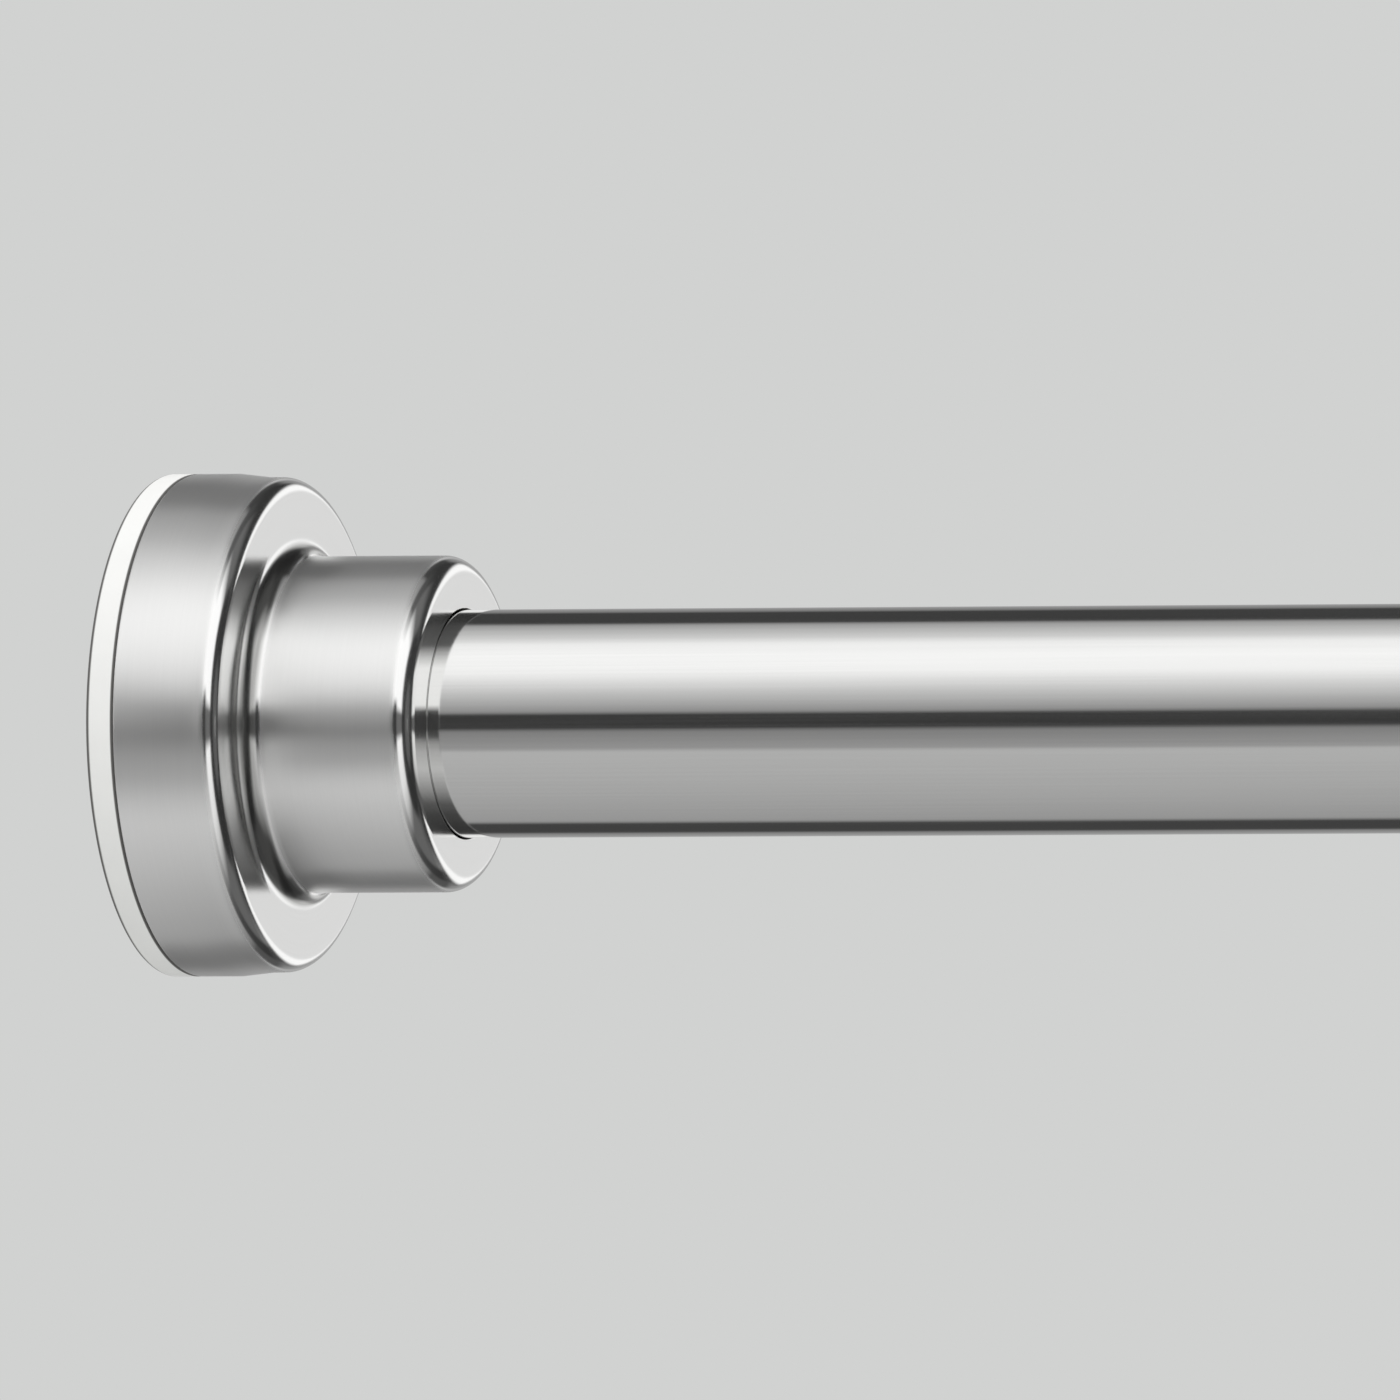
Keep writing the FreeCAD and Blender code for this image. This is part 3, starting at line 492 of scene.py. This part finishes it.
def foot(side):
    """Moulded foot under the cover: a disc held by the pad, a socket for the rod and gussets round it."""
    disc_end, barrel_r, barrel_end = 5.4, HUB_R - SHEET - 0.3, HUB_FACE - SHEET - 1.0
    socket_r, socket_floor = ROD_R[side] + 0.05, 8.4
    hole_r, sink_r, sink_end = 2.1, 4.1, 4.7
    edge, fillet = 0.6, 0.5
    piece = turned_piece(f"{side}_foot_moulding", [
        (FOOT_SEAT, sink_r),
        (FOOT_SEAT, FOOT_DISC_R),
        (disc_end, FOOT_DISC_R),
        (disc_end, barrel_r),
        (barrel_end, barrel_r),
        (barrel_end, socket_r),
        (socket_floor, socket_r),
        (socket_floor, hole_r),
        (sink_end, hole_r),
    ], FOOT_AROUND)
    round_ring(piece, disc_end, FOOT_DISC_R, edge, steps=5)
    round_ring(piece, disc_end, barrel_r, fillet, steps=4)
    round_ring(piece, barrel_end, barrel_r, edge, steps=5)
    round_ring(piece, barrel_end, socket_r, edge, steps=5)
    for number in range(GUSSETS):
        gusset(disc_end, barrel_r, math.tau * number / GUSSETS)
    finish_piece(piece, side)
    dress(piece, ABS, END_BODY[side], "white_abs", f"{side}_foot")


def gusset(root, barrel_r, turn):
    """A sloping gusset between the foot's disc and its barrel, turned to its place round the axis."""
    crest, width, reach, tip, sunk, edge = 12.4, 1.6, 5.5, 0.8, 0.6, 0.25
    middle_r = barrel_r - sunk + reach / 2
    bpy.ops.mesh.select_all(action="DESELECT")
    bpy.ops.mesh.primitive_cube_add(
        size=1,
        location=((root - sunk + crest) / 2 * MM, 0, middle_r * MM),
        scale=((crest - root + sunk) * MM, width * MM, reach * MM),
    )
    work = bmesh.from_edit_mesh(bpy.context.object.data)
    for point in [point for point in work.verts if point.select]:
        point.select_set(point.co.x > root * MM and point.co.z > middle_r * MM)
    work.select_flush_mode()
    bmesh.update_edit_mesh(bpy.context.object.data)
    bpy.ops.transform.translate(value=(0, 0, -(reach - sunk - tip) * MM))
    bpy.ops.mesh.select_linked()
    bpy.ops.mesh.bevel(offset=edge * MM, segments=3, affect="EDGES")
    bpy.ops.mesh.select_linked()
    bpy.ops.transform.rotate(value=turn, orient_axis="X", center_override=(0, 0, 0))


def tension_spring():
    """Compression spring: a round section wound on step by step, close at both ends and open between."""
    wire_r, wire_sides, coil_r, steps = 1.1, 12, 9.3, 36
    # Closed turns lie a hair apart, so that they don't cut into each other
    close = 2 * wire_r * 1.02
    open_pitch = (SPRING_LENGTH - 2 * close - 2 * wire_r) / SPRING_TURNS
    start = (SPRING_START + wire_r, 0, coil_r)
    spring = start_circle("spring_wire_coil", wire_sides, wire_r, start, (QUARTER, 0, 0), "NGON")
    for pitch in [close] + [open_pitch] * SPRING_TURNS + [close]:
        for _ in range(steps):
            bpy.ops.mesh.extrude_region_move(TRANSFORM_OT_translate={"value": (pitch / steps * MM, 0, 0)})
            bpy.ops.transform.rotate(value=math.tau / steps, orient_axis="X", center_override=(0, 0, 0))
    bpy.ops.mesh.select_all(action="SELECT")
    bpy.ops.mesh.normals_make_consistent(inside=False)
    finish_piece(spring)
    dress(spring, SPRING_WIRE, "spindle", "spring_steel", "tension_spring")
    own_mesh(spring)


def steel_tube(name, outer_r, bore_r, start, end, body, node):
    """A tube with its ends cut square and deburred."""
    tube = turned_piece(name, [(start, bore_r), (start, outer_r), (end, outer_r), (end, bore_r)])
    round_ring(tube, start, outer_r, DEBURR, steps=3)
    round_ring(tube, end, outer_r, DEBURR, steps=3)
    finish_piece(tube)
    dress(tube, TUBE_STEEL, body, "brushed_stainless", node)


def mouth_bush():
    """White bush that guides the pole in the mouth of the outer tube."""
    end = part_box("outer_tube")[1][0] / MM
    inner_r, sleeve_r, flange_r = 11.15, 11.85, 13.1
    sleeve_start, flange_end = end - 22.0, end + 1.2
    front_edge, edge = 0.45, 0.2
    bush = turned_piece("mouth_bush_ring", [
        (sleeve_start, inner_r),
        (sleeve_start, sleeve_r),
        (end, sleeve_r),
        (end, flange_r),
        (flange_end, flange_r),
        (flange_end, inner_r),
    ])
    round_ring(bush, flange_end, flange_r, front_edge, steps=5)
    round_ring(bush, end, flange_r, edge, steps=3)
    round_ring(bush, flange_end, inner_r, edge, steps=3)
    finish_piece(bush)
    dress(bush, ABS, "outer_pole", "white_abs", "mouth_bush")


for side in SIDES:
    flange_cover(side)
    wall_pad(side)
    foot(side)

low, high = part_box("outer_tube")
steel_tube("outer_tube_wall", TUBE_R, TUBE_BORE_R, low[0] / MM, high[0] / MM, "outer_pole", "outer_tube")
low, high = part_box("inner_tube")
steel_tube("pole_wall", POLE_R, POLE_BORE_R, low[0] / MM, high[0] / MM, "inner_pole", "inner_tube")
mouth_bush()
tension_spring()

# Solids that stay as they are and only get their material
CARRIED = {
    "left_tube_plug": GREY_NYLON,
    "right_tube_plug": GREY_NYLON,
    "pole_plug": GREY_NYLON,
    "lock_glide": ACETAL,
    "lock_ring": ACETAL,
    "eccentric_cam": BLACK_NYLON,
    "left_foot_screw": ZINC,
    "right_foot_screw": ZINC,
    "spindle": ZINC,
    "spindle_washer": ZINC,
    "spindle_nut": ZINC,
    "spring_washer": ZINC,
    "lock_end_washer": ZINC,
    "lock_end_screw": ZINC,
}
for name, material in CARRIED.items():
    for slot in frame["nodes"][name].material_slots:
        slot.material = material


# Studio

BACKDROP = linear("#D1D2D1")
STUDIO_STRENGTH, AMBIENT_STRENGTH = 1.145, 0.95

# Bands of light and shade all round the rod, as (angle, brightness). The angle is in degrees: 0 is level in
# front, 90 is overhead, 180 is level behind and -90 is below. A brightness of 1.5 is a full light.
FULL_BAND = 1.5

# What the rod shows
ROD_BANDS = [
    (-180, 0.60), (-152, 0.34), (-146, 0.08), (-125, 0.08), (-119, 0.48), (-75, 0.60), (-30, 0.69),
    (-27, 0.47), (-9, 0.33), (-6, 0.06), (7, 0.06), (11, 0.44), (30, 0.85), (52, 1.42), (70, 1.48),
    (86, 1.36), (94, 1.00), (116, 0.51), (121, 0.07), (146, 0.07), (152, 0.30), (180, 0.60),
]

# What the satin sides of the drum and the hub show besides, on both sides of the rod's bands
SATIN_BANDS = [
    (-180, 0.50), (-130, 0.70), (-100, 0.78), (-70, 0.92), (-45, 1.06), (-30, 0.50), (-15, 0.51),
    (-8, 0.34), (5, 0.98), (14, 0.54), (30, 1.26), (44, 1.50), (60, 1.36), (80, 0.81), (110, 0.50),
    (145, 0.72), (180, 0.50),
]

# Square to the rod, where the cover's roundings begin
SQUARE_BANDS = [
    (-180, 0.60), (-152, 0.34), (-146, 0.12), (-125, 0.12), (-117, 0.30), (-68, 0.80), (-47, 0.88),
    (-30, 0.69), (-27, 0.47), (-9, 0.33), (-6, 0.06), (7, 0.06), (13, 1.40), (60, 1.50), (75, 1.15),
    (90, 0.50), (112, 0.32), (118, 0.07), (146, 0.07), (152, 0.30), (180, 0.60),
]

# A little to the right of square, which the flat faces show in the sides of the hub and the rod
FACE_BANDS = [
    (-180, 0.30), (-140, 0.05), (-107, 0.08), (-89, 0.15), (-47, 0.85), (-30, 0.69), (-20, 0.45),
    (-13, 0.05), (12, 0.05), (18, 1.45), (58, 1.50), (86, 0.15), (140, 0.05), (180, 0.30),
]

# Towards the rod's far end, where the cover's roundings look
END_BANDS = [
    (-180, 0.60), (-155, 0.60), (-138, 0.18), (-88, 0.18), (-66, 0.80), (-50, 1.10), (-14, 1.35),
    (-8, 0.20), (7, 0.20), (13, 1.45), (70, 1.50), (80, 1.00), (95, 0.20), (138, 0.18), (155, 0.60),
    (180, 0.60),
]

# The direction that the flat faces mirror, and how far along X lies what the rod's side mirrors
FACE_MIRROR, SIDE_MIRROR_X = (0.342, 0.940, 0.0), -0.342

# Lights and screens over the rod's bands, each over the one before. A light is a list of bands or an even
# grey, and its edges say where it is: each fades it in while a measure of the direction goes from one value
# to another. The measures are how far it points along the rod or up, how far its X is from what the rod's
# side mirrors (aside), and how nearly it is what the flat faces mirror (behind).
STUDIO_LIGHTS = [
    (SATIN_BANDS, [("aside", 0.07, 0.12)]),
    (SQUARE_BANDS, [("along", -0.17, -0.05)]),
    (FACE_BANDS, [("along", 0.15, 0.26)]),
    (END_BANDS, [("along", 0.42, 0.52)]),
    # Dark screens: one behind the white sheet, and one across the far end, a little lighter in its middle
    (0.03, [("behind", 0.50, 0.80), ("along", 0.0, 0.15), ("up", -0.60, -0.30)]),
    (0.03, [("along", 0.80, 0.87)]),
    (0.10, [("along", 0.95, 0.985)]),
    # A white sheet for the flat faces to mirror, a little shaded in its middle
    (0.95, [("behind", 0.88, 0.93), ("along", 0.0, 0.15)]),
    (0.68, [("behind", 0.965, 0.99), ("along", 0.0, 0.15)]),
]


def band_light(tree, turn, bands):
    """A light whose brightness changes with the angle round the rod."""
    ramp = add_node(tree, "ShaderNodeValToRGB", {"Fac": turn})
    stops = ramp.color_ramp.elements
    while len(stops) > 1:
        stops.remove(stops[-1])
    for index, (angle, brightness) in enumerate(bands):
        position, grey = (angle + 180) / 360, brightness / FULL_BAND
        stop = stops[0] if index == 0 else stops.new(position)
        stop.position = position
        stop.color = (grey, grey, grey, 1)
    return ramp


def studio_world():
    """A plain studio: pale to the camera, and soft bands of light and shade for the steel to reflect."""
    world = bpy.data.worlds.new("studio")
    bpy.context.scene.world = world
    world.use_nodes = True
    tree = world.node_tree
    tree.nodes.clear()
    direction = add_node(tree, "ShaderNodeTexCoord", {}).outputs["Generated"]
    parts = add_node(tree, "ShaderNodeSeparateXYZ", {0: direction}).outputs
    front = add_node(tree, "ShaderNodeMath", {0: parts["Y"], 1: -1.0}, operation="MULTIPLY")
    angle = add_node(tree, "ShaderNodeMath", {0: parts["Z"], 1: front}, operation="ARCTAN2")
    turn = add_node(tree, "ShaderNodeMapRange", {"Value": angle, "From Min": -math.pi, "From Max": math.pi})
    past_side = add_node(tree, "ShaderNodeMath", {0: parts["X"], 1: SIDE_MIRROR_X}, operation="SUBTRACT")
    aside = add_node(tree, "ShaderNodeMath", {0: past_side}, operation="ABSOLUTE")
    behind = add_node(tree, "ShaderNodeVectorMath", {0: direction, 1: FACE_MIRROR}, operation="DOT_PRODUCT")
    measures = {"along": parts["X"], "up": parts["Z"], "aside": aside, "behind": behind}
    room = band_light(tree, turn, ROD_BANDS)
    for light, edges in STUDIO_LIGHTS:
        colour = band_light(tree, turn, light) if isinstance(light, list) else (light, light, light, 1)
        shown = 1.0
        for measure, start, end in edges:
            shown = add_node(tree, "ShaderNodeMapRange", {
                "Value": measures[measure], "From Min": start, "From Max": end, "To Max": shown,
            }, interpolation_type="SMOOTHSTEP")
        room = add_node(tree, "ShaderNodeMix", {"Factor": shown, 6: room, 7: colour}, data_type="RGBA")

    reflected = add_node(tree, "ShaderNodeBackground", {"Color": room, "Strength": STUDIO_STRENGTH})
    ambient = add_node(tree, "ShaderNodeBackground", {"Color": (1, 1, 1, 1), "Strength": AMBIENT_STRENGTH})
    seen = add_node(tree, "ShaderNodeBackground", {"Color": BACKDROP, "Strength": 1.0})
    ray = add_node(tree, "ShaderNodeLightPath", {}).outputs
    lit = add_node(tree, "ShaderNodeMixShader", {0: ray["Is Glossy Ray"], 1: ambient, 2: reflected})
    final = add_node(tree, "ShaderNodeMixShader", {0: ray["Is Camera Ray"], 1: lit, 2: seen})
    add_node(tree, "ShaderNodeOutputWorld", {"Surface": final})


def studio_floor():
    """A plain pale floor below the rod, as pale as the backdrop. Sizes are in metres."""
    size, height, cloud = 40, -0.3, 1 / 3
    deselect()
    bpy.ops.mesh.primitive_plane_add(size=size, location=(MIDDLE * MM, 0, height))
    floor = bpy.context.object
    floor.name = "studio_floor"
    material, tree, place = new_material("pale_floor_paint")
    clouds = add_node(tree, "ShaderNodeTexNoise", {"Vector": place, "Scale": 1 / cloud})
    tint = add_node(tree, "ShaderNodeMix", {
        "Factor": clouds, 6: linear("#CCCDCC"), 7: linear("#C9CAC9"),
    }, data_type="RGBA")
    paint = add_node(tree, "ShaderNodeBsdfPrincipled", {"Base Color": tint, "Roughness": 0.9})
    add_node(tree, "ShaderNodeOutputMaterial", {"Surface": paint})
    floor.data.materials.append(material)
    floor.visible_glossy = False


def studio_lamp():
    """A broad soft lamp above and in front."""
    towards_lamp = Vector((0.25, -0.55, 1.0))
    light = bpy.data.lights.new("soft_overhead", "SUN")
    light.energy = 0.5
    light.angle = math.radians(40)
    lamp = bpy.data.objects.new("soft_overhead", light)
    bpy.context.scene.collection.objects.link(lamp)
    lamp.rotation_euler = towards_lamp.to_track_quat("Z", "Y").to_euler()
    lamp.visible_glossy = False


def photo_camera():
    """A long lens level with the rod, looking at its left end from the right of the wall."""
    azimuth, elevation, distance = math.radians(20.0), math.radians(-0.9), 6481.5
    target = Vector((62.5, 0, 2.5)) * MM
    back = Vector((
        math.sin(azimuth) * math.cos(elevation),
        -math.cos(azimuth) * math.cos(elevation),
        math.sin(elevation),
    ))
    optics = bpy.data.cameras.new("photo_camera")
    optics.lens = 1500
    optics.sensor_width = 36
    optics.clip_start = 0.05
    optics.clip_end = 100
    camera = bpy.data.objects.new("photo_camera", optics)
    bpy.context.scene.collection.objects.link(camera)
    camera.location = target + back * (distance * MM)
    camera.rotation_euler = back.to_track_quat("Z", "Y").to_euler()
    bpy.context.scene.camera = camera


studio_world()
studio_floor()
studio_lamp()
photo_camera()
bpy.context.scene.view_settings.view_transform = "Standard"

deselect()
